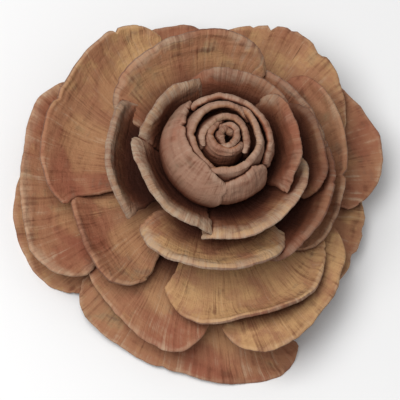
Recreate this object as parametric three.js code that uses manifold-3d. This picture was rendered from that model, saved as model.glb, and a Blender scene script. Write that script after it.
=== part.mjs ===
// A cedar rose: the tip of a deodar cedar cone, shed whole when the rest of the cone fell apart.
// Thirty-four woody, fan-shaped scales grow in one spiral from a short woody axis. The youngest close
// into a bud at the top, and the oldest spread flat round the foot. It all grew as one piece, so it is
// one solid: every scale is a thin curved blade with its root sunk into the axis.
//
// Millimetres, +Z up along the axis. The origin is the centre of the axis's broken foot, level with the
// ground that the foot and the lowest scales rest on.

import * as THREE from "three";
import { mergeVertices } from "three/addons/utils/BufferGeometryUtils.js";
import Module from "manifold-3d";

const wasm = await Module();
wasm.setup();

const degrees = THREE.MathUtils.degToRad;

// The spiral. Scale 0 is the youngest, at the tip, and each older one is a golden angle further round.
const SCALE_COUNT = 34;
const GOLDEN_ANGLE = 137.5;
const FIRST_AZIMUTH = 160;

// How the scales change from the tip of the cone to its foot, at some numbers in the spiral: the scales
// between two stages are blended. A scale leaves the axis at root height, climbing at the leave angle,
// and its margin ends at the rim radius and rim height, climbing at the end angle: over 90 leans in over
// the bud. Half span is the angle round the axis from its midline to its side. A scale of flatness 0 wraps
// round the axis, and one of flatness 1 is straight across. The fuller it is, the more it bellies out,
// and its lip rolls outward by the roll.
const STAGE = ["root", "radius", "height", "leaves", "ends", "halfSpan", "flatness", "fullness", "roll"];
const STAGES = {
  0: [27, 0.8, 36.5, 80, 100, 140, 0, 0.4, 0],
  3: [25.5, 3.2, 36.4, 55, 112, 130, 0, 0.5, 0],
  7: [22.5, 6.6, 35, 20, 122, 85, 0, 0.6, 0],
  8: [21.8, 9.2, 34, 18, 122, 68, 0, 0.66, 0],
  9: [21, 12, 32.5, 24, 104, 50, 0, 0.5, 2.2],
  12: [19.2, 15.5, 30, 22, 100, 48, 0, 0.42, 2.2],
  16: [16.8, 20.5, 26, 16, 90, 48, 0.1, 0.42, 1.2],
  20: [14.2, 25, 20.5, 12, 68, 50, 0.22, 0.42, 0.4],
  24: [11.6, 29, 14, 12, 42, 45, 0.32, 0.42, 0.2],
  28: [9, 32.5, 7.5, 14, 12, 43, 0.35, 0.42, 0],
  31: [7.2, 34, 3, 16, -10, 42, 0.35, 0.42, 0],
  33: [6, 34.5, 0.5, 16, -22, 42, 0.35, 0.42, 0],
};

// Each scale also grew its own way: degrees turned round the axis, millimetres further out and up, how
// wide against its stage, how far its corners fall back and how sharply, how lopsided it is, and degrees
// that its margin curls up. A scale that isn't listed follows its stage.
const HABIT = ["turn", "out", "up", "wide", "shoulder", "power", "skew", "curl"];
const HABITS = {
  4: [25, 1.5, 0, 0.85, 0.12, 4, 0, 0],
  5: [-15, 0.3, 0.2, 1.1, 0.12, 4, 0, 0],
  6: [20, 1.6, -0.3, 0.85, 0.15, 4, 0, -6],
  7: [34, 0.6, -0.3, 0.52, 0.14, 3, 0.1, 0],
  8: [82, -3.2, 1.5, 1.15, 0.15, 3, 0.05, 12],
  9: [32, -0.5, 0.5, 0.9, 0.2, 4, 0, -4],
  10: [17, 0.2, -0.3, 1, 0.15, 5, -0.05, -15],
  11: [0, -1.8, 0.5, 1, 0.2, 3, 0, 0],
  12: [25, -1.4, -0.3, 1.16, 0.2, 4, 0, -11],
  13: [-12, -5.2, 2, 0.85, 0.2, 4, 0, 4],
  14: [0, -0.6, 0, 0.7, 0.25, 3, 0, 0],
  15: [34, 0, -1, 1.12, 0.32, 2.25, 0.05, -6],
  16: [11, 2, 1.5, 1.05, 0.3, 3.5, -0.1, -13],
  17: [25, -1, 0, 0.95, 0.25, 3, 0, -4],
  18: [-6, -4.3, 2.5, 0.85, 0.25, 3.5, 0, 10],
  19: [0, -2.5, 0, 1, 0.3, 2.5, 0, 0],
  20: [28, 2, -3.5, 1, 0.4, 1.75, 0, 20],
  21: [20, 5, 0.3, 0.97, 0.2, 4, -0.05, -5],
  22: [15, -1.5, 0.5, 1.1, 0.2, 4, 0.15, 0],
  23: [-11, -2.5, -0.5, 0.9, 0.3, 3.5, 0.1, 0],
  24: [-17, 6, 1.5, 0.95, 0.3, 1.5, -0.05, 0],
  25: [15, 2, -0.5, 0.95, 0.3, 3.5, -0.15, -10],
  26: [15, 3, -0.5, 1.1, 0.25, 5, 0, 0],
  27: [5, 4, 0.5, 0.9, 0.3, 2.25, -0.05, 0],
  28: [-9, -3, 0.5, 0.9, 0.3, 4, 0.15, -5],
  29: [0, 1, 0.5, 0.95, 0.3, 2.5, -0.05, 0],
  30: [9, -2.5, 0.5, 1, 0.3, 3, 0.05, 0],
  31: [-5, 0, -3.5, 1, 0.3, 2.5, 0, 0],
  32: [0, 0, -1.5, 1, 0.3, 2.5, 0, 0],
  33: [-19, -1.5, 0, 1.2, 0.15, 5, 0.1, 0],
};
const FOLLOWS_ITS_STAGE = [0, 0, 0, 1, 0.1, 4, 0, 0];

// Every scale is thick at its root, on the axis, and thin at its margin.
const ROOT_RADIUS = 1.6;
const ROOT_THICKNESS = 1.8;
const MARGIN_THICKNESS = 0.9;

// The axis, as radius and height from its broken foot to its tip inside the bud.
const AXIS = [
  [0, -1],
  [3.6, -1],
  [3.3, 6],
  [3, 14],
  [2.4, 23],
  [1.2, 29],
  [0, 30],
];
const AXIS_SIDES = 12;

function stageOf(number) {
  const at = Object.keys(STAGES).map(Number);
  const after = Math.max(1, at.findIndex((stage) => stage >= number));
  const [a, b] = [at[after - 1], at[after]];
  const blend = (i) => THREE.MathUtils.mapLinear(number, a, b, STAGES[a][i], STAGES[b][i]);
  return Object.fromEntries(STAGE.map((name, i) => [name, blend(i)]));
}

// A repeatable draw from -1 to 1 for one scale, so that every build is alike.
function draw(number, salt) {
  const x = Math.sin(number * 12.9898 + salt * 78.233) * 43758.5453;
  return 2 * (x - Math.floor(x)) - 1;
}

function scaleNumber(number) {
  const stage = stageOf(number);
  const own = HABITS[number] ?? FOLLOWS_ITS_STAGE;
  const habit = Object.fromEntries(HABIT.map((name, i) => [name, own[i]]));
  const age = number / (SCALE_COUNT - 1);
  const root = new THREE.Vector2(ROOT_RADIUS, stage.root);
  const rim = new THREE.Vector2(stage.radius + habit.out, stage.height + habit.up);
  const handle = root.distanceTo(rim) * stage.fullness;
  const toward = (angle) => new THREE.Vector2(Math.cos(degrees(angle)), Math.sin(degrees(angle)));
  const profile = new THREE.CubicBezierCurve(
    root,
    root.clone().addScaledVector(toward(stage.leaves), handle),
    rim.clone().addScaledVector(toward(stage.ends + habit.curl), -handle),
    rim,
  );
  return {
    ...habit,
    profile,
    azimuth: degrees(FIRST_AZIMUTH - GOLDEN_ANGLE * number + habit.turn),
    halfSpan: degrees(stage.halfSpan * habit.wide),
    flatness: stage.flatness,
    roll: stage.roll,
    wave: 0.2 + 0.5 * age,
    phase: Math.PI * draw(number, 1),
    twist: 0.4 * age * draw(number, 2),
  };
}

// A point of a scale: u runs from -1 to 1 across it, v from 0 at the root to 1 at the margin, and face is
// 1 on its upper face and -1 on its lower one.
function bladePoint(scale, u, v, face) {
  const fallBack = 1 - scale.shoulder * Math.abs(u) ** scale.power;
  const along = v * fallBack * (1 + scale.skew * u * v);
  const p = scale.profile.getPoint(along);
  const t = scale.profile.getTangent(Math.min(along, 0.999));
  const ripple = scale.wave * Math.sin(2.2 * u * Math.PI + scale.phase) * Math.abs(u);
  const thickness = MARGIN_THICKNESS + (ROOT_THICKNESS - MARGIN_THICKNESS) * (1 - v) ** 1.5;
  const lift = v * v * (ripple + scale.twist * u) - scale.roll * v ** 8;
  const offset = lift + (face * thickness) / 2;
  const radius = p.x - t.y * offset;
  const angle = u * scale.halfSpan * (0.8 + 0.2 * v);
  const outward = radius * (Math.cos(angle) + scale.flatness * v * (1 - Math.cos(angle)));
  const across = radius * Math.sin(angle);
  const [c, s] = [Math.cos(scale.azimuth), Math.sin(scale.azimuth)];
  return [outward * c - across * s, outward * s + across * c, p.y + t.x * offset];
}

// One scale as a closed surface: its upper and lower faces are grids split alike, joined round the rim.
// The columns crowd toward its rounded corners, and the rows toward its margin.
function bladeGeometry(scale, columns, rows) {
  const points = [];
  const faces = [];
  for (const face of [1, -1])
    for (let j = 0; j <= rows; j++)
      for (let i = 0; i <= columns; i++) {
        const t = (2 * i) / columns - 1;
        points.push(...bladePoint(scale, t * (1.3 - 0.3 * t * t), 1 - (1 - j / rows) ** 1.25, face));
      }
  const at = (side, i, j) => (side * (rows + 1) + j) * (columns + 1) + i;
  for (let j = 0; j < rows; j++)
    for (let i = 0; i < columns; i++)
      for (const side of [0, 1]) {
        const [a, b] = [at(side, i, j), at(side, i + 1, j)];
        const [c, d] = [at(side, i + 1, j + 1), at(side, i, j + 1)];
        faces.push(...(side ? [a, b, c, a, c, d] : [a, c, b, a, d, c]));
      }
  const rim = [];
  for (let i = 0; i < columns; i++) rim.push([i, 0]);
  for (let j = 0; j < rows; j++) rim.push([columns, j]);
  for (let i = columns; i > 0; i--) rim.push([i, rows]);
  for (let j = rows; j > 0; j--) rim.push([0, j]);
  rim.forEach(([i, j], k) => {
    const [m, n] = rim[(k + 1) % rim.length];
    const [a, b, c, d] = [at(0, i, j), at(0, m, n), at(1, m, n), at(1, i, j)];
    faces.push(a, b, c, a, c, d);
  });
  const geometry = new THREE.BufferGeometry();
  geometry.setAttribute("position", new THREE.Float32BufferAttribute(points, 3));
  geometry.setIndex(faces);
  return geometry;
}

function solidOf(geometry) {
  const bare = geometry.clone();
  for (const name of ["normal", "uv"]) bare.deleteAttribute(name);
  const merged = mergeVertices(bare, 1e-4);
  return new wasm.Manifold(
    new wasm.Mesh({
      numProp: 3,
      vertProperties: merged.attributes.position.array,
      triVerts: new Uint32Array(merged.index.array),
    }),
  );
}

const axis = new THREE.LatheGeometry(AXIS.map(([r, z]) => new THREE.Vector2(r, z)), AXIS_SIDES);
let grown = solidOf(axis.rotateX(Math.PI / 2));
for (let number = 0; number < SCALE_COUNT; number++) {
  const [columns, rows] = number > 11 ? [10, 5] : [8, 4];
  grown = grown.add(solidOf(bladeGeometry(scaleNumber(number), columns, rows)));
}

// The ground wears the foot and the tips of the lowest scales flat, which is what the cone rests on.
const ground = new THREE.BoxGeometry(120, 120, 20).translate(0, 0, -10);
grown = grown.subtract(solidOf(ground));

// Blades that meet can pinch off a crumb or seal a bubble of a hair's breadth: only the wood is kept.
const [wood] = grown.decompose().sort((a, b) => b.volume() - a.volume());

const mesh = wood.getMesh();
const geometry = new THREE.BufferGeometry();
geometry.setAttribute("position", new THREE.BufferAttribute(Float32Array.from(mesh.vertProperties), 3));
geometry.setIndex(new THREE.BufferAttribute(Uint32Array.from(mesh.triVerts), 1));
const material = new THREE.MeshStandardMaterial({ color: 0xa4765a, roughness: 0.75, metalness: 0 });
const roseCone = new THREE.Mesh(geometry, material);
roseCone.name = "rose_cone";

const cedarRose = new THREE.Group();
cedarRose.add(roseCone);
export default cedarRose;
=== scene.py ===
import math

import bpy
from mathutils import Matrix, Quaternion, Vector


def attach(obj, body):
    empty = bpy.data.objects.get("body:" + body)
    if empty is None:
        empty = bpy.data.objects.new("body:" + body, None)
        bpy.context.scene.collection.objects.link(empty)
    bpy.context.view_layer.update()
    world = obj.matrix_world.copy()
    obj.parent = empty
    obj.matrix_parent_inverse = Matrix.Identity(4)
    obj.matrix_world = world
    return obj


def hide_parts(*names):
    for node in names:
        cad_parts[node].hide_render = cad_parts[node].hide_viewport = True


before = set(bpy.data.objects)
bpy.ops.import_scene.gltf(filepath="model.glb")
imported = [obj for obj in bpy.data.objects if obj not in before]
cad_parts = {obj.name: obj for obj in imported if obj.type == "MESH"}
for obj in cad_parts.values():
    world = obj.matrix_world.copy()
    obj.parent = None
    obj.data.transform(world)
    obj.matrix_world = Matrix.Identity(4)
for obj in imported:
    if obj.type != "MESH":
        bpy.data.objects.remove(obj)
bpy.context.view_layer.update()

# The spiral of scales. A deodar cone carries its woody scales in one spiral, each a golden angle further
# round the axis than the one above. Scale 0 is the youngest, at the tip of the bud, and scale 33 the
# oldest, which spreads flat at the foot. Lengths are in millimetres until a skin is laid.
SCALE_COUNT = 34
GOLDEN_ANGLE = 137.5
FIRST_AZIMUTH = 160
ROOT_RADIUS = 1.6

# number in the spiral: root height, rim radius, rim height, leave angle, end angle, half span,
# flatness, fullness, roll of the lip
STAGES = {
    0: (27, 0.8, 36.5, 80, 100, 140, 0, 0.4, 0),
    3: (25.5, 3.2, 36.4, 55, 112, 130, 0, 0.5, 0),
    7: (22.5, 6.6, 35, 20, 122, 85, 0, 0.6, 0),
    8: (21.8, 9.2, 34, 18, 122, 68, 0, 0.66, 0),
    9: (21, 12, 32.5, 24, 104, 50, 0, 0.5, 2.2),
    12: (19.2, 15.5, 30, 22, 100, 48, 0, 0.42, 2.2),
    16: (16.8, 20.5, 26, 16, 90, 48, 0.1, 0.42, 1.2),
    20: (14.2, 25, 20.5, 12, 68, 50, 0.22, 0.42, 0.4),
    24: (11.6, 29, 14, 12, 42, 45, 0.32, 0.42, 0.2),
    28: (9, 32.5, 7.5, 14, 12, 43, 0.35, 0.42, 0),
    31: (7.2, 34, 3, 16, -10, 42, 0.35, 0.42, 0),
    33: (6, 34.5, 0.5, 16, -22, 42, 0.35, 0.42, 0),
}

# how a scale strays from its stage, for one that doesn't: degrees turned, millimetres out and up, width,
# shoulder, its power, skew, curl
PLAIN_HABIT = (0, 0, 0, 1, 0.1, 4, 0, 0)

# the ripple of the margin on the youngest scale, what the oldest has more, and how far an old scale twists
YOUNG_RIPPLE, ADDED_RIPPLE, OLD_TWIST = 0.2, 0.5, 0.4

# each scale draws its own chances from the last digits of a sine that is stretched this far
NUMBER_STEP, SALT_STEP, STRETCH = 12.9898, 78.233, 43758.5453


def draw(number, salt):
    """A chance from -1 to 1, always the same for one scale and one salt."""
    x = math.sin(number * NUMBER_STEP + salt * SALT_STEP) * STRETCH
    return 2 * (x - math.floor(x)) - 1


def stage_of(number):
    marks = sorted(STAGES)
    after = max(1, next(i for i, mark in enumerate(marks) if mark >= number))
    a, b = marks[after - 1], marks[after]
    share = (number - a) / (b - a)
    return [p + (q - p) * share for p, q in zip(STAGES[a], STAGES[b])]


def scale_sizes(number, habit):
    """What shapes one scale: its midline as a cubic curve of radius and height, and how it spreads."""
    root, radius, height, leaves, ends, half_span, flatness, fullness, roll = stage_of(number)
    turn, out, up, wide, shoulder, power, skew, curl = habit
    age = number / (SCALE_COUNT - 1)
    start = Vector((ROOT_RADIUS, root))
    rim = Vector((radius + out, height + up))
    handle = (rim - start).length * fullness
    leave, end = math.radians(leaves), math.radians(ends + curl)
    first = start + handle * Vector((math.cos(leave), math.sin(leave)))
    last = rim - handle * Vector((math.cos(end), math.sin(end)))
    sizes = {"azimuth": math.radians(FIRST_AZIMUTH - GOLDEN_ANGLE * number + turn)}
    for i, point in enumerate((start, first, last, rim)):
        sizes[f"radius_{i}"], sizes[f"height_{i}"] = point
    sizes.update(
        half_span=math.radians(half_span * wide),
        flatness=flatness,
        roll=roll,
        shoulder=shoulder,
        power=power,
        skew=skew,
        wave=YOUNG_RIPPLE + ADDED_RIPPLE * age,
        phase=math.pi * draw(number, 1),
        twist=OLD_TWIST * age * draw(number, 2),
        number=number,
        reach=(rim - start).length,
    )
    return sizes


# The scale blades. Each is a thin woody fan: a wedge at the axis that widens and thins to a rounded,
# slightly chipped margin. A flat sheet is laid over both of its faces, meeting itself at the margin, so
# a blade is one closed skin. One tree of nodes shapes all the blades of a layer from their sizes.
FLOAT = "NodeSocketFloat"
MILLIMETRE = 0.001
DOUBLES_WITHIN = 0.000004


class Field:
    """A number that varies over a surface. The signs between two of them lay down Math nodes."""

    def __init__(self, tree, socket):
        self.tree, self.socket = tree, socket

    def math(self, operation, *others):
        node = self.tree.nodes.new("ShaderNodeMath")
        node.operation = operation
        for socket, value in zip(node.inputs, (self, *others)):
            feed(self.tree, socket, value)
        return Field(self.tree, node.outputs[0])

    def __add__(self, other):
        return self.math("ADD", other)

    def __sub__(self, other):
        return self.math("SUBTRACT", other)

    def __rsub__(self, other):
        return self.math("MULTIPLY", -1).math("ADD", other)

    def __mul__(self, other):
        return self.math("MULTIPLY", other)

    def __truediv__(self, other):
        return self.math("DIVIDE", other)

    def __pow__(self, other):
        return self.math("POWER", other)

    def __abs__(self):
        return self.math("ABSOLUTE")

    __radd__ = __add__
    __rmul__ = __mul__

    def at_least(self, other):
        return self.math("MAXIMUM", other)

    def at_most(self, other):
        return self.math("MINIMUM", other)

    def smooth(self, low, high, to_low=0.0, to_high=1.0):
        node = self.tree.nodes.new("ShaderNodeMapRange")
        node.interpolation_type = "SMOOTHSTEP"
        for socket, value in zip(node.inputs, (self, low, high, to_low, to_high)):
            feed(self.tree, socket, value)
        return Field(self.tree, node.outputs[0])


def feed(tree, socket, value):
    if isinstance(value, Field):
        tree.links.new(value.socket, socket)
    elif isinstance(value, bpy.types.NodeSocket):
        tree.links.new(value, socket)
    else:
        socket.default_value = value


def add(tree, kind, **inputs):
    """Lays down a node and feeds the inputs that are named, with _ for a space in a name."""
    node = tree.nodes.new(kind)
    for name, value in inputs.items():
        feed(tree, node.inputs[name.replace("_", " ")], value)
    return node


def vector(tree, x, y, z):
    return add(tree, "ShaderNodeCombineXYZ", X=x, Y=y, Z=z).outputs[0]


def noise(tree, place, scale=1.0, detail=2.0, roughness=0.5):
    """Smooth noise from about -1 to 1."""
    node = add(tree, "ShaderNodeTexNoise", Vector=place, Scale=scale, Detail=detail, Roughness=roughness)
    return Field(tree, node.outputs[0]) * 2 - 1


def attribute(tree, name):
    node = tree.nodes.new("GeometryNodeInputNamedAttribute")
    node.data_type = "FLOAT"
    node.inputs["Name"].default_value = name
    return Field(tree, node.outputs["Attribute"])


def store(tree, geometry, name, value):
    node = tree.nodes.new("GeometryNodeStoreNamedAttribute")
    node.data_type, node.domain = "FLOAT", "POINT"
    feed(tree, node.inputs["Geometry"], geometry)
    node.inputs["Name"].default_value = name
    feed(tree, node.inputs["Value"], value)
    return node.outputs["Geometry"]


def node_group(kind, name, inputs, outputs):
    """A node group with named inputs, each a name, a socket type and a value, and named outputs. It comes
    with its inputs as Fields, and with the sockets to feed at its end."""
    tree = bpy.data.node_groups.new(name, kind)
    for label, socket_type, value in inputs:
        socket = tree.interface.new_socket(label, in_out="INPUT", socket_type=socket_type)
        if value is not None:
            socket.default_value = value
    for label, socket_type in outputs:
        tree.interface.new_socket(label, in_out="OUTPUT", socket_type=socket_type)
    entry = tree.nodes.new("NodeGroupInput")
    given = {socket.name: Field(tree, socket) for socket in entry.outputs if socket.name}
    return tree, given, tree.nodes.new("NodeGroupOutput").inputs


def shaping_tree(name, inputs):
    geometry = ("Geometry", "NodeSocketGeometry")
    inputs = [(*geometry, None), *inputs, ("Material", "NodeSocketMaterial", None)]
    return node_group("GeometryNodeTree", name, inputs, [geometry])


def flat_sheet(tree, columns, rows):
    """A flat sheet that runs from -1 to 1 both ways, and a point's two places on it."""
    sheet = add(tree, "GeometryNodeMeshGrid", Size_X=2, Size_Y=2, Vertices_X=columns, Vertices_Y=rows)
    place = tree.nodes.new("GeometryNodeInputPosition").outputs[0]
    split = add(tree, "ShaderNodeSeparateXYZ", Vector=place)
    return sheet.outputs["Mesh"], Field(tree, split.outputs["X"]), Field(tree, split.outputs["Y"])


def closed_skin(tree, sheet, x, y, z):
    """Moves a sheet to its place, given in millimetres, and closes the seams where it meets itself."""
    place = vector(tree, x * MILLIMETRE, y * MILLIMETRE, z * MILLIMETRE)
    laid = add(tree, "GeometryNodeSetPosition", Geometry=sheet, Position=place).outputs[0]
    return add(tree, "GeometryNodeMergeByDistance", Geometry=laid, Distance=DOUBLES_WITHIN).outputs[0]


def finish(tree, skin, given, result):
    smooth = add(tree, "GeometryNodeSetShadeSmooth", Geometry=skin).outputs[0]
    real = add(tree, "GeometryNodeRealizeInstances", Geometry=smooth).outputs[0]
    coated = add(tree, "GeometryNodeSetMaterial", Geometry=real, Material=given["Material"]).outputs[0]
    feed(tree, result["Geometry"], coated)


tree, given, result = shaping_tree("scale_blades", [
    ("Columns", "NodeSocketInt", 97),
    ("Rows", "NodeSocketInt", 61),
    ("Root thickness", FLOAT, 1.8),
    ("Margin thickness", FLOAT, 0.9),
    ("Rounding", FLOAT, 0.45),
    ("Buckle", FLOAT, 0.35),
    ("Ridges", FLOAT, 0.16),
    ("Chips", FLOAT, 0.025),
])
sheet, x, y = flat_sheet(tree, given["Columns"], given["Rows"])
sprout = add(tree, "GeometryNodeInstanceOnPoints", Points=given["Geometry"], Instance=sheet)
laid = add(tree, "GeometryNodeRealizeInstances", Geometry=sprout.outputs[0]).outputs[0]

# u runs across a blade from flank to flank, v up it from the root to the rim, and side is 1 on its upper
# face and -1 on its lower. By these powers, the sheet's lines crowd towards the flanks and the rim.
FLANK_CROWDING, RIM_CROWDING = 1.8, 2.2
laid = store(tree, laid, "u", x.math("SIGN") * (1 - (1 - abs(x)).at_least(0) ** FLANK_CROWDING))
laid = store(tree, laid, "v", 1 - abs(y) ** RIM_CROWDING)
laid = store(tree, laid, "side", y.math("SIGN"))
u, v, side = (attribute(tree, name) for name in ("u", "v", "side"))
own = {name: attribute(tree, name) for name in scale_sizes(0, PLAIN_HABIT)}
seed = own["number"] * 7.31

# how far in from the margin a point is, in millimetres
from_rim = (1 - v) * own["reach"]
from_flank = (1 - abs(u)) * own["reach"] * v * own["half_span"] * 0.9
edge = from_rim.at_most(from_flank)

# the outline: its shoulders fall back, its margin is nibbled and chipped, and its flanks are uneven
fall_back = 1 - own["shoulder"] * abs(u) ** own["power"]
nibble = noise(tree, vector(tree, u * 3.2, seed, 0), detail=3.0, roughness=0.6)
notch = noise(tree, vector(tree, u * 7.0, seed + 40, 0), detail=1.0).smooth(0.25, 0.6) * 1.6
chipped = 1 - given["Chips"] * (1 - nibble + notch) * v ** 10
t = v * fall_back * (1 + own["skew"] * u * v) * chipped
flank = noise(tree, vector(tree, v * 4.5, seed + 60, u.math("SIGN") * 3), detail=3.0, roughness=0.6)
pinched = 1 - (0.05 + flank * 0.12) * abs(u) ** 3


def cubic(a, b, c, d, t):
    s = 1 - t
    return a * s ** 3 + b * (3 * t * s ** 2) + c * (3 * t ** 2 * s) + d * t ** 3


def slope(a, b, c, d, t):
    s = 1 - t
    return (b - a) * (s ** 2) + (c - b) * (2 * t * s) + (d - c) * t ** 2


# which way the midline runs at a point, taken just short of its end
JUST_SHORT = 0.999
radii = [own[f"radius_{i}"] for i in range(4)]
heights = [own[f"height_{i}"] for i in range(4)]
held = t.at_most(JUST_SHORT)
run, rise = slope(*radii, held), slope(*heights, held)
length = (run * run + rise * rise) ** 0.5

# what lifts a point off the midline's surface: the margin's ripple, buckles from drying, growth ridges
# that follow the margin, fine ribs that fan out from the root, and the roll of the lip
ripple = own["wave"] * (u * 2.2 * math.pi + own["phase"]).math("SINE") * abs(u)
buckle = noise(tree, vector(tree, u * 1.7, v * 2.2, seed)) * given["Buckle"]
growth = noise(tree, vector(tree, u * 1.3, t * 13.0, seed + 11), roughness=0.6) * given["Ridges"]
growth = growth * (1 + v ** 4 * 1.5)
ribs = noise(tree, vector(tree, u * 15.0, v * 1.6, seed + 23), roughness=0.6) * given["Ridges"]
lip = own["roll"] * v ** 8
lift = v ** 2 * (ripple + own["twist"] * u + buckle * 1.6) + v * (growth + ribs) - lip

# half of the blade's thickness goes to each side of that surface, rounded off at the margin
thinning = given["Root thickness"] - given["Margin thickness"]
body = given["Margin thickness"] + thinning * (1 - v) ** 1.5
rounding = (1 - (1 - edge / given["Rounding"]).at_least(0) ** 2) ** 0.5
offset = lift + side * body * rounding * 0.5

# the midline swept round the axis as a fan, and nothing let into the table that the cone stands on
LEAST_HEIGHT = 0.02
radius = cubic(*radii, t) - rise / length * offset
height = cubic(*heights, t) + run / length * offset
angle = u * own["half_span"] * (0.8 + 0.2 * v) * pinched
cosine, sine = angle.math("COSINE"), angle.math("SINE")
outward = radius * (cosine + own["flatness"] * v * (1 - cosine))
across = radius * sine
east, north = own["azimuth"].math("COSINE"), own["azimuth"].math("SINE")
ground = LEAST_HEIGHT + (side + 1) * rounding * 0.3
blades = closed_skin(
    tree,
    laid,
    outward * east - across * north,
    outward * north + across * east,
    height.at_least(ground),
)
finish(tree, blades, given, result)
scale_blades = tree


def on_scene(name, data):
    thing = bpy.data.objects.new(name, data)
    bpy.context.scene.collection.objects.link(thing)
    return thing


def evaluated(source, tree, settings):
    """Runs a node tree on an object that is only lent for it, and returns the plain mesh."""
    modifier = source.modifiers.new("grow", "NODES")
    modifier.node_group = tree
    for item in tree.interface.items_tree:
        if item.in_out == "INPUT" and item.name in settings:
            modifier[item.identifier] = settings[item.name]
    ready = source.evaluated_get(bpy.context.evaluated_depsgraph_get())
    mesh = bpy.data.meshes.new_from_object(ready)
    bpy.data.objects.remove(source)
    return mesh


def grow(name, tree, seeds, settings):
    """Runs a node tree on seed points that carry their own sizes, and returns the finished piece."""
    mesh = bpy.data.meshes.new(name + "_seeds")
    mesh.from_pydata([(0, 0, 0)] * len(seeds), [], [])
    for key in seeds[0]:
        layer = mesh.attributes.new(key, "FLOAT", "POINT")
        layer.data.foreach_set("value", [one[key] for one in seeds])
    source = on_scene(name + "_seeds", mesh)
    return on_scene(name, evaluated(source, tree, settings))


# The wood of the scales. It is dry and hard, with fibres that fan out from the root, and it has weathered
# to tan, ruddy brown, gold and grey. Each group paints one thing that all the scales show.
# dusk and deep are dark wood colours and also paint the shade in crevices and towards the roots; pale is
# pale wood and also the painted highlight along the rims
WOOD = {
    "ruddy": (142, 84, 62),
    "tan": (160, 113, 82),
    "golden": (192, 150, 104),
    "grey": (146, 126, 104),
    "pale": (198, 172, 144),
    "under": (116, 76, 58),
    "dusk": (106, 58, 38),
    "deep": (52, 22, 12),
}
PRINT_DEPTH = 0.35
SCALE_GLOSS, SCALE_RELIEF = 0.22, 0.0003


def paint(red, green, blue):
    """A colour as the eye sees it, in 0 to 255 steps, turned into the light values that Blender mixes."""
    steps = [c / 255 for c in (red, green, blue)]
    return tuple(c / 12.92 if c < 0.04045 else ((c + 0.055) / 1.055) ** 2.4 for c in steps) + (1.0,)


def surface(tree, name):
    node = tree.nodes.new("ShaderNodeAttribute")
    node.attribute_name = name
    return Field(tree, node.outputs["Fac"])


def blend(tree, under, over, share):
    node = tree.nodes.new("ShaderNodeMix")
    node.data_type = "RGBA"
    for name, value in (("Factor", share), ("A", under), ("B", over)):
        feed(tree, node.inputs[name], value)
    return node.outputs["Result"]


def shader_group(name, inputs, outputs):
    inputs = [(label, FLOAT, value) for label, value in inputs.items()]
    return node_group("ShaderNodeTree", name, inputs, [(label, FLOAT) for label in outputs])


def placed(tree, group, **values):
    """Places a shader group in a material, with its own values, and returns its outputs by name."""
    node = tree.nodes.new("ShaderNodeGroup")
    node.node_tree = group
    for name, value in values.items():
        node.inputs[name].default_value = value
    return {socket.name: Field(tree, socket) for socket in node.outputs}


# the fibres, which fan out from the root to the margin, with the odd darker fissure between them
fibre_inputs = {"Count": 26.0, "Wander": 0.5, "Fissures": 0.5}
tree, given, result = shader_group("fan_fibres", fibre_inputs, ["Fibres", "Fissure"])
u, v, number = (surface(tree, name) for name in ("u", "v", "number"))
sway = noise(tree, vector(tree, u * 2.0, v * 3.0, number * 3.7)) * given["Wander"]
line = (u + sway * 0.08) * given["Count"]
fine = noise(tree, vector(tree, line, v * 1.6, number * 7.3), detail=4.0, roughness=0.65)
split_lines = noise(tree, vector(tree, line * 0.42, v * 2.4, number * 1.9 + 50), detail=1.0)
fissure = abs(split_lines).smooth(0.0, 0.09, 1.0, 0.0)
where = noise(tree, vector(tree, u * 3.0, v * 4.0, number * 2.3 + 9), detail=1.0).smooth(0.2, 0.7)
feed(tree, result["Fibres"], fine)
feed(tree, result["Fissure"], fissure * where * given["Fissures"])
fan_fibres = tree

# the bands of growth, which follow the margin
tree, given, result = shader_group("growth_bands", {"Count": 16.0}, ["Bands"])
u, v, number = (surface(tree, name) for name in ("u", "v", "number"))
sway = noise(tree, vector(tree, u * 3.0, v * 2.0, number * 4.4))
curve = v * (1 - abs(u) ** 2.5 * 0.25) + sway * 0.04
banded = vector(tree, u * 1.2, curve * given["Count"], number * 5.1)
feed(tree, result["Bands"], noise(tree, banded, detail=3.0, roughness=0.6))
growth_bands = tree

# the prints of the two winged seeds that lay side by side on the upper face, smooth and a little paler
tree, given, result = shader_group("seed_prints", {"Depth": 1.0}, ["Print"])
u, v, number = (surface(tree, name) for name in ("u", "v", "number"))
stray = noise(tree, vector(tree, u * 2.5, v * 2.5, number * 6.1)) * 0.12
beside = abs(abs(u) - 0.42) + stray
wing = beside.smooth(0.22, 0.36, 1.0, 0.0) * v.smooth(0.3, 0.45)
wing = wing * (v + beside * 0.35 + stray).smooth(0.8, 0.88, 1.0, 0.0)
feed(tree, result["Print"], wing * surface(tree, "side").smooth(-0.2, 0.2) * given["Depth"])
seed_prints = tree

# the pale margin: partly wood that weather and rubbing have bleached, and partly a painted highlight along
# the rims
tree, given, result = shader_group("pale_margin", {"Width": 0.9, "Raggedness": 0.6}, ["Margin"])
u, v, number, reach = (surface(tree, name) for name in ("u", "v", "number", "reach"))
bleached = surface(tree, "bleached")
from_rim = (1 - v) * reach
from_flank = (1 - abs(u)) * reach * v * 0.8
inward = from_rim.at_most(from_flank)
ragged = noise(tree, vector(tree, u * 6.0, v * 6.0, number * 4.9), detail=3.0, roughness=0.6)
width = given["Width"] * (1 + bleached) * (1 + ragged * given["Raggedness"] * 2.4).at_least(0.1)
kept = noise(tree, vector(tree, u * 1.6, v * 2.0, number * 8.3)).smooth(-0.3, 0.4, 0.05, 1.0)
kept = kept.at_least(bleached.at_most(1))
feed(tree, result["Margin"], inward.smooth(width * 0.4, width * 1.5, 1.0, 0.0) * kept)
pale_margin = tree

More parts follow.
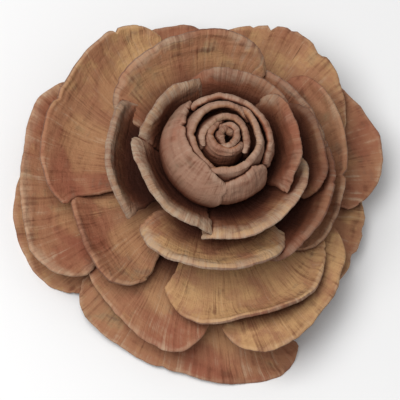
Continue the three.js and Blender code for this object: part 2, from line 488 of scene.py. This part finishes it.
# broad stains and mottling, where resin, damp and sun have coloured the wood unevenly
tree, given, result = shader_group("stains", {"Size": 90.0}, ["Broad", "Mottle", "Speck"])
spot = tree.nodes.new("ShaderNodeTexCoord").outputs["Object"]
feed(tree, result["Broad"], noise(tree, spot, given["Size"]))
feed(tree, result["Mottle"], noise(tree, spot, given["Size"] * 3.4, detail=4.0, roughness=0.6))
feed(tree, result["Speck"], noise(tree, spot, given["Size"] * 16.0, detail=3.0, roughness=0.7))
stains = tree


def new_wood(name):
    wood = bpy.data.materials.new(name)
    wood.use_nodes = True
    return wood, wood.node_tree


def coat(tree, colour, roughness, gloss, relief, relief_depth):
    skin = tree.nodes["Principled BSDF"]
    feed(tree, skin.inputs["Base Color"], colour)
    feed(tree, skin.inputs["Roughness"], roughness)
    skin.inputs["Specular IOR Level"].default_value = gloss
    bump = add(tree, "ShaderNodeBump", Height=relief, Distance=relief_depth)
    tree.links.new(bump.outputs["Normal"], skin.inputs["Normal"])


def scale_wood(name, colours, fibre_count, margin_width, margin_share, dark_from, dark_to, shade_strength):
    """Dry scale wood with painted shade: each scale is painted darker towards its root, the painted shade
    running out between dark_from and dark_to, as shares of a scale, and darker in the crevices between the
    scales. The last value is how dark that painted shade gets."""
    ruddy, tan, golden, grey, pale, under, dusk, deep = (paint(*colours[key]) for key in WOOD)
    wood, tree = new_wood(name)
    fibres = placed(tree, fan_fibres, Count=fibre_count)
    fine, fissure = fibres["Fibres"], fibres["Fissure"]
    band = placed(tree, growth_bands)["Bands"]
    edge = placed(tree, pale_margin, Width=margin_width)["Margin"]
    patches = placed(tree, stains)
    broad, mottle, speck = patches["Broad"], patches["Mottle"], patches["Speck"]
    wings = placed(tree, seed_prints, Depth=PRINT_DEPTH)["Print"]
    v, side = surface(tree, "v"), surface(tree, "side")
    tint = surface(tree, "tint") + surface(tree, "u") * surface(tree, "lopsided")

    # the upper face in patches of tan, ruddy, golden and grey wood, and the plainer underside
    face = blend(tree, tan, ruddy, (tint * 0.45 + broad * 1.7 + mottle).smooth(-0.6, 1.2))
    face = blend(tree, face, golden, (tint * -0.6 + mottle * 1.7 - broad * 0.9).smooth(-0.1, 1.1))
    face = blend(tree, face, grey, (mottle * 1.2 + band * 0.9 - broad * 0.8).smooth(0.2, 1.0, 0.0, 0.7))
    face = blend(tree, face, golden, wings)
    below = blend(tree, under, ruddy, (broad * 1.4 + mottle).smooth(-0.2, 0.9, 0.0, 0.7))
    below_grey = (mottle * 1.4 + fine * 0.8 - broad * 0.8).smooth(0.1, 1.0, 0.0, 0.8)
    below = blend(tree, below, grey, below_grey)
    face = blend(tree, below, face, side.smooth(-0.2, 0.2))

    # dark stains, dark and pale streaks along the fibres and bands, the pale margin, partly worn wood and
    # partly a painted highlight, and the fissures
    face = blend(tree, face, deep, (broad * -1.2 + mottle).smooth(0.15, 1.1, 0.0, 0.45))
    dark_streak = fine * 1.1 + band * (0.3 + v ** 5 * 0.8) + mottle * 0.6
    face = blend(tree, face, dusk, dark_streak.smooth(-0.05, 0.75, 0.0, 0.8))
    pale_streak = fine * -1.0 - band * (0.2 + v ** 5 * 0.5) - mottle * 0.3
    face = blend(tree, face, pale, pale_streak.smooth(0.1, 0.8, 0.0, 0.6))
    # the pale margin, partly wear and partly a painted highlight along the rims
    rim_wear_and_highlight = edge * margin_share * speck.smooth(-0.6, 0.2, 0.5, 1.0)
    rim_wear_and_highlight = rim_wear_and_highlight * (fine + mottle * 0.6).smooth(-0.5, 0.45, 1.0, 0.3)
    face = blend(tree, face, pale, rim_wear_and_highlight)
    face = blend(tree, face, deep, fissure * 0.3)

    # painted shade: darker in the crevices between the scales, where few rays got out, and darker towards
    # the root of each scale
    lain_open = surface(tree, "open") + mottle * 0.06
    face = blend(tree, face, dusk, lain_open.smooth(0.3, 0.8, shade_strength, 0.0))
    face = blend(tree, face, deep, lain_open.smooth(0.05, 0.5, shade_strength, 0.0))
    # painted shade towards the root, which reaches further on a scale with a larger shade value
    inward = v + mottle * 0.08 - surface(tree, "shade")
    face = blend(tree, face, dusk, inward.smooth(dark_from, dark_to, 1.0, 0.0))
    face = blend(tree, face, deep, inward.smooth(dark_from * 0.8, dark_to * 0.85, shade_strength, 0.0))

    roughness = 0.74 + speck * 0.08 + edge * 0.08
    relief = fine * 0.5 + band * 0.4 + mottle * 0.5 + speck * 0.2 - fissure * 1.2 - wings * 0.6
    coat(tree, face, roughness, SCALE_GLOSS, relief, SCALE_RELIEF)
    return wood


def grow_scales(name, numbers, habits, coats, settings):
    """Grows one layer of scales, each with its own habit and with what has coloured it. A scale that
    coats leaves out gets a chance tint and nothing else."""
    seeds = []
    for number in numbers:
        sizes = scale_sizes(number, habits.get(number, PLAIN_HABIT))
        tint, lopsided, shade, bleached = coats.get(number, (draw(number, 4), 0, 0, 0))
        sizes.update(tint=tint, lopsided=lopsided, shade=shade, bleached=bleached)
        seeds.append(sizes)
    return grow(name, scale_blades, seeds, settings)


# The bud. Its nine scales, the youngest, are still wrapped round each other and grow out of the top of the
# axis. Their margins are thick and rounded, and only their greyer backs and rims show.

# habits, by number in the spiral: degrees turned, millimetres out and up, width, shoulder, its power,
# skew, curl
BUD_HABITS = {
    4: (25, 1.5, 0, 0.85, 0.12, 4, 0, 0),
    5: (-15, 0.3, 0.2, 1.1, 0.12, 4, 0, 0),
    6: (20, 1.6, -0.3, 0.85, 0.15, 4, 0, -6),
    7: (34, 0.6, -0.3, 0.52, 0.14, 3, 0.1, 0),
    8: (82, -3.2, 1.5, 1.15, 0.15, 3, 0.05, 12),
}

# coats, by number in the spiral: wood from -1 for golden to 1 for ruddy, how much ruddier than its middle
# one side is, how much further the painted shade of the root reaches, as a share of the scale, and how
# much wider the pale margin is, partly bleached wood and partly painted highlight
BUD_COATS = {
    7: (-0.1, 0, 0, 0),
    8: (0.1, 0, 0, 0),
}
bud_wood = scale_wood(
    "bud_scale_wood",
    {**WOOD, "golden": (150, 120, 96), "pale": (176, 150, 130), "under": (150, 114, 94)},
    fibre_count=16,
    margin_width=0.8,
    margin_share=0.75,
    dark_from=0.4,
    dark_to=0.85,
    shade_strength=0.85,
)
bud_scales = grow_scales("bud_scales", range(0, 9), BUD_HABITS, BUD_COATS, {
    "Margin thickness": 1.25,
    "Rounding": 0.7,
    "Buckle": 0.45,
    "Ridges": 0.2,
    "Chips": 0.03,
    "Material": bud_wood,
})
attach(bud_scales, "root")
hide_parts("rose_cone")

# The cup. Two rings of half-open scales stand round the bud on the upper part of the axis. Their throats
# are painted dark as shade, and their lips are rolled outwards and pale, partly bleached wood and partly a
# painted highlight.
CUP_HABITS = {
    9: (32, -0.5, 0.5, 0.9, 0.2, 4, 0, -4),
    10: (17, 0.2, -0.3, 1, 0.15, 5, -0.05, -15),
    11: (0, -1.8, 0.5, 1, 0.2, 3, 0, 0),
    12: (25, -1.4, -0.3, 1.16, 0.2, 4, 0, -11),
    13: (-12, -5.2, 2, 0.85, 0.2, 4, 0, 4),
    14: (0, -0.6, 0, 0.7, 0.25, 3, 0, 0),
    15: (34, 0, -1, 1.12, 0.32, 2.25, 0.05, -6),
    16: (11, 2, 1.5, 1.05, 0.3, 3.5, -0.1, -13),
    17: (25, -1, 0, 0.95, 0.25, 3, 0, -4),
    18: (-6, -4.3, 2.5, 0.85, 0.25, 3.5, 0, 10),
    19: (0, -2.5, 0, 1, 0.3, 2.5, 0, 0),
}
# the third value of each coat is painted shade towards the root, and the fourth widens the pale margin,
# partly a painted highlight
CUP_COATS = {
    9: (0.7, 0, 0.12, 0),
    10: (0.1, 0, 0.04, 1.4),
    11: (0.8, 0, 0.16, 0),
    12: (-0.5, 0, 0.06, 0.8),
    13: (-0.2, 0, 0.1, 1),
    14: (0.3, 0, 0.25, -0.5),
    15: (-0.9, 0, -0.1, 0.1),
    16: (0.1, 0, -0.12, 0),
    17: (0.3, 0, 0.2, 0),
    18: (0, 0, 0.12, 1),
}
cup_wood = scale_wood(
    "cup_scale_wood",
    {**WOOD, "pale": (176, 158, 136)},
    fibre_count=24,
    margin_width=1.3,
    margin_share=0.9,
    dark_from=0.55,
    dark_to=1.0,
    shade_strength=0.97,
)
cup_scales = grow_scales("cup_scales", range(9, 20), CUP_HABITS, CUP_COATS, {
    "Rows": 65,
    "Margin thickness": 1.2,
    "Rounding": 0.6,
    "Ridges": 0.18,
    "Chips": 0.035,
    "Material": cup_wood,
})
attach(cup_scales, "root")
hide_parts("rose_cone")

# The open scales. Broad thin fans on the lower part of the axis, buckled as they dried, which spread flat
# or turn down towards the foot and give the cone its outline. They are golden tan to ruddy brown.
OPEN_HABITS = {
    20: (28, 2, -3.5, 1, 0.4, 1.75, 0, 20),
    21: (20, 5, 0.3, 0.97, 0.2, 4, -0.05, -5),
    22: (15, -1.5, 0.5, 1.1, 0.2, 4, 0.15, 0),
    23: (-11, -2.5, -0.5, 0.9, 0.3, 3.5, 0.1, 0),
    24: (-17, 6, 1.5, 0.95, 0.3, 1.5, -0.05, 0),
    25: (15, 2, -0.5, 0.95, 0.3, 3.5, -0.15, -10),
    26: (15, 3, -0.5, 1.1, 0.25, 5, 0, 0),
    27: (5, 4, 0.5, 0.9, 0.3, 2.25, -0.05, 0),
    28: (-9, -3, 0.5, 0.9, 0.3, 4, 0.15, -5),
    29: (0, 1, 0.5, 0.95, 0.3, 2.5, -0.05, 0),
    30: (9, -2.5, 0.5, 1, 0.3, 3, 0.05, 0),
    31: (-5, 0, -3.5, 1, 0.3, 2.5, 0, 0),
    32: (0, 0, -1.5, 1, 0.3, 2.5, 0, 0),
    33: (-19, -1.5, 0, 1.2, 0.15, 5, 0.1, 0),
}
OPEN_COATS = {
    20: (-1, 0, 0, 0),
    21: (0, 1.4, 0, -0.6),
    22: (0.6, 0, 0, 0),
    23: (0.2, 0, 0, 0),
    24: (-0.5, -0.4, 0, 0),
    25: (-1, 0, -0.1, 0),
    26: (0.3, 0.4, 0, 1),
    27: (0.9, 0, 0, 0),
    28: (0.3, 0, 0.3, 0),
    29: (0.2, 0, 0, 0),
    33: (0.2, 0, 0, 0),
}
open_wood = scale_wood(
    "open_scale_wood",
    WOOD,
    fibre_count=30,
    margin_width=0.7,
    margin_share=0.5,
    dark_from=0.1,
    dark_to=0.45,
    shade_strength=0.95,
)
open_scales = grow_scales("open_scales", range(20, SCALE_COUNT), OPEN_HABITS, OPEN_COATS, {
    "Buckle": 0.7,
    "Material": open_wood,
})
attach(open_scales, "root")
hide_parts("rose_cone")

# The woody axis that carries the scales. It runs from a torn foot, where this tip broke off the rest of
# the cone, up into the bud. Its bark is ribbed with fibres and pocked by the scars of the scales below.
BARK, BARK_PALE, TORN_WOOD = (92, 58, 42), (120, 82, 58), (186, 146, 104)
BARK_STAINS, BARK_GLOSS, BARK_RELIEF = 140.0, 0.3, 0.00025
FOOT_PART, TIP_PART = 0.2, 0.97

tree, given, result = shaping_tree("axis_stem", [
    ("Foot radius", FLOAT, 3.5),
    ("Tip radius", FLOAT, 1.4),
    ("Height", FLOAT, 29.0),
    ("Fibre depth", FLOAT, 0.25),
    ("Torn depth", FLOAT, 1.1),
    ("Scar depth", FLOAT, 0.5),
])
sheet, x, y = flat_sheet(tree, 97, 121)
laid = store(tree, sheet, "around", x * math.pi)
laid = store(tree, laid, "along", (y + 1) * 0.5)
around, along = attribute(tree, "around"), attribute(tree, "along")
ring_x, ring_y = around.math("COSINE"), around.math("SINE")

# the first part of the sheet covers the torn foot, and what is past its tip part closes over the tip
climb = ((along - FOOT_PART) / (TIP_PART - FOOT_PART)).at_least(0)
height = climb.at_most(1) * given["Height"]
girth = given["Foot radius"] + (given["Tip radius"] - given["Foot radius"]) * climb
closing = (along / FOOT_PART).at_most(1) ** 0.8 * ((1 - along) / (1 - TIP_PART)).at_most(1)
fibre = noise(tree, vector(tree, ring_x * 3.2, ring_y * 3.2, height * 0.12), detail=3.0, roughness=0.6)
tear = vector(tree, ring_x * closing * 5.0, ring_y * closing * 5.0, 3.0)
torn = noise(tree, tear, detail=3.0, roughness=0.7)
one_way, other_way = (around * 5 + height * 0.9).math("SINE"), (around * 3 - height * 0.9).math("SINE")
scar = noise(tree, vector(tree, one_way, other_way, 7.0), scale=1.3, detail=1.0).smooth(0, 0.5)
radius = girth * closing + (fibre * given["Fibre depth"] - scar * given["Scar depth"]) * closing
at_foot = 1 - climb.smooth(0, 0.08)
lifted = height + (torn + 0.6).at_least(0.02) * given["Torn depth"] * at_foot
stem = closed_skin(tree, laid, radius * ring_x, radius * ring_y, lifted)
stem = add(tree, "GeometryNodeFlipFaces", Mesh=stem).outputs[0]
finish(tree, stem, given, result)
axis_stem = tree

axis_wood, tree = new_wood("axis_wood")
patches = placed(tree, stains, Size=BARK_STAINS)
mottle, speck = patches["Mottle"], patches["Speck"]
around, along = surface(tree, "around"), surface(tree, "along")
strands = vector(tree, around.math("COSINE") * 9.0, around.math("SINE") * 9.0, along * 3.0)
strand = noise(tree, strands, detail=4.0, roughness=0.6)
torn_face = along.smooth(0.17, 0.23, 1.0, 0.0)
bark = blend(tree, paint(*BARK), paint(*BARK_PALE), (mottle + strand * 0.6).smooth(-0.5, 0.6))
bark = blend(tree, bark, paint(*WOOD["deep"]), strand.smooth(0.1, 0.8, 0.0, 0.7))
bark = blend(tree, bark, paint(*TORN_WOOD), torn_face * speck.smooth(-0.6, 0.4, 0.4, 0.9))
relief = strand * 0.8 + mottle * 0.4 + speck * 0.2
coat(tree, bark, 0.82 + speck * 0.08, BARK_GLOSS, relief, BARK_RELIEF)

# the tree lays the stem's sheet itself, so one seed point with any value will do
axis = grow("axis", axis_stem, [{"order": 0.0}], {"Material": axis_wood})
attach(axis, "root")
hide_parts("rose_cone")

# Painted shade. Rays cast from each point of the skin find how open it lies, and the wood is painted
# darker in the crevices between the scales where little is open: painted shade, not a colour of the wood.
RAYS = 16
RAY_LEAN, RAY_START = 0.92, 0.00015

tree, given, result = shaping_tree("shelter", [
    ("Cone", "NodeSocketCollection", None),
    ("Reach", FLOAT, 0.012),
])
whole = add(tree, "GeometryNodeCollectionInfo", Collection=given["Cone"]).outputs[0]
solid = add(tree, "GeometryNodeRealizeInstances", Geometry=whole).outputs[0]
place = tree.nodes.new("GeometryNodeInputPosition").outputs[0]
facing = tree.nodes.new("GeometryNodeInputNormal").outputs[0]


def vectors(tree, operation, a, b):
    node = tree.nodes.new("ShaderNodeVectorMath")
    node.operation = operation
    feed(tree, node.inputs[0], a)
    feed(tree, node.inputs["Scale" if operation == "SCALE" else 1], b)
    return node.outputs[0]


above = vectors(tree, "ADD", place, vectors(tree, "SCALE", facing, RAY_START))
openness = 0
for ray in range(RAYS):
    level = 1 - (2 * ray + 1) / RAYS
    heading = ray * math.radians(GOLDEN_ANGLE)
    reach_out = RAY_LEAN * math.sqrt(1 - level ** 2)
    lean = (reach_out * math.cos(heading), reach_out * math.sin(heading), RAY_LEAN * level)
    cast = add(
        tree,
        "GeometryNodeRaycast",
        Target_Geometry=solid,
        Source_Position=above,
        Ray_Direction=vectors(tree, "ADD", facing, lean),
        Ray_Length=given["Reach"],
    )
    hit, distance = Field(tree, cast.outputs["Is Hit"]), Field(tree, cast.outputs["Hit Distance"])
    openness = (1 - hit * (1 - distance / given["Reach"])) + openness
# the share of rays that got out, which the wood turns into painted shade
felt = store(tree, given["Geometry"], "open", openness * (1 / RAYS))
finish(tree, felt, given, result)
shelter = tree

cone_pieces = (bud_scales, cup_scales, open_scales, axis)
cone_woods = (bud_wood, cup_wood, open_wood, axis_wood)
cone = bpy.data.collections.new("cone")
for piece in cone_pieces:
    cone.objects.link(piece)
bpy.context.scene.collection.children.link(cone)
shaded_meshes = []
for piece, wood in zip(cone_pieces, cone_woods):
    bare = on_scene(piece.name + "_bare", piece.data)
    shaded_meshes.append(evaluated(bare, shelter, {"Cone": cone, "Material": wood}))
for piece, mesh in zip(cone_pieces, shaded_meshes):
    piece.data = mesh
    cone.objects.unlink(piece)
bpy.data.collections.remove(cone)

# The table and the light of the picture: a plain pale table top, and soft window light from above and to
# the left.
TABLE_REACH, TABLE_COLOUR = 2, (0.86, 0.86, 0.86, 1)
SKY_COLOUR, SKY_STRENGTH = (1, 1, 1, 1), 0.42
LAMP_POWER, LAMP_SIZE = 1.95, 0.28
LAMP_PLACE, LAMP_AIM = Vector((-0.15, -0.12, 0.44)), Vector((0, 0, 0.015))

corners = [(x * TABLE_REACH, y * TABLE_REACH, 0) for x, y in ((-1, -1), (1, -1), (1, 1), (-1, 1))]
floor_mesh = bpy.data.meshes.new("floor")
floor_mesh.from_pydata(corners, [], [(0, 1, 2, 3)])
floor_paint = bpy.data.materials.new("pale_table")
floor_paint.use_nodes = True
floor_paint.node_tree.nodes["Principled BSDF"].inputs["Base Color"].default_value = TABLE_COLOUR
floor_mesh.materials.append(floor_paint)
floor = on_scene("floor", floor_mesh)

world = bpy.data.worlds.new("studio")
bpy.context.scene.world = world
world.use_nodes = True
sky = world.node_tree.nodes["Background"]
sky.inputs["Color"].default_value = SKY_COLOUR
sky.inputs["Strength"].default_value = SKY_STRENGTH
bpy.context.scene.view_settings.view_transform = "Standard"

lamp = bpy.data.lights.new("softbox", "AREA")
lamp.energy = LAMP_POWER
lamp.size = LAMP_SIZE
softbox = on_scene("softbox", lamp)
softbox.location = LAMP_PLACE
softbox.rotation_mode = "QUATERNION"
softbox.rotation_quaternion = (LAMP_AIM - LAMP_PLACE).to_track_quat("-Z", "Y")

# The camera. The cone leans in the picture, so the camera looks steeply down on the upright one and is
# rolled, and it frames the cone as the photograph does.
ELEVATION, ROLL = math.radians(67.2), math.radians(24)
DISTANCE, NEAREST = 0.7, 0.01
FRAME_WIDTH, SENSOR_WIDTH = 0.07296, 36
FOOT_RIGHT, FOOT_UP = 0.00108, 0.00137

back = Vector((0, -math.cos(ELEVATION), math.sin(ELEVATION)))
turned = (-back).to_track_quat("-Z", "Y") @ Quaternion((0, 0, 1), ROLL)
lens = bpy.data.cameras.new("camera")
lens.sensor_width = SENSOR_WIDTH
lens.lens = SENSOR_WIDTH * DISTANCE / FRAME_WIDTH
lens.clip_start = NEAREST
camera = on_scene("camera", lens)
camera.rotation_mode = "QUATERNION"
camera.rotation_quaternion = turned
right, up = turned @ Vector((1, 0, 0)), turned @ Vector((0, 1, 0))
camera.location = back * DISTANCE + right * FOOT_RIGHT + up * FOOT_UP
bpy.context.scene.camera = camera
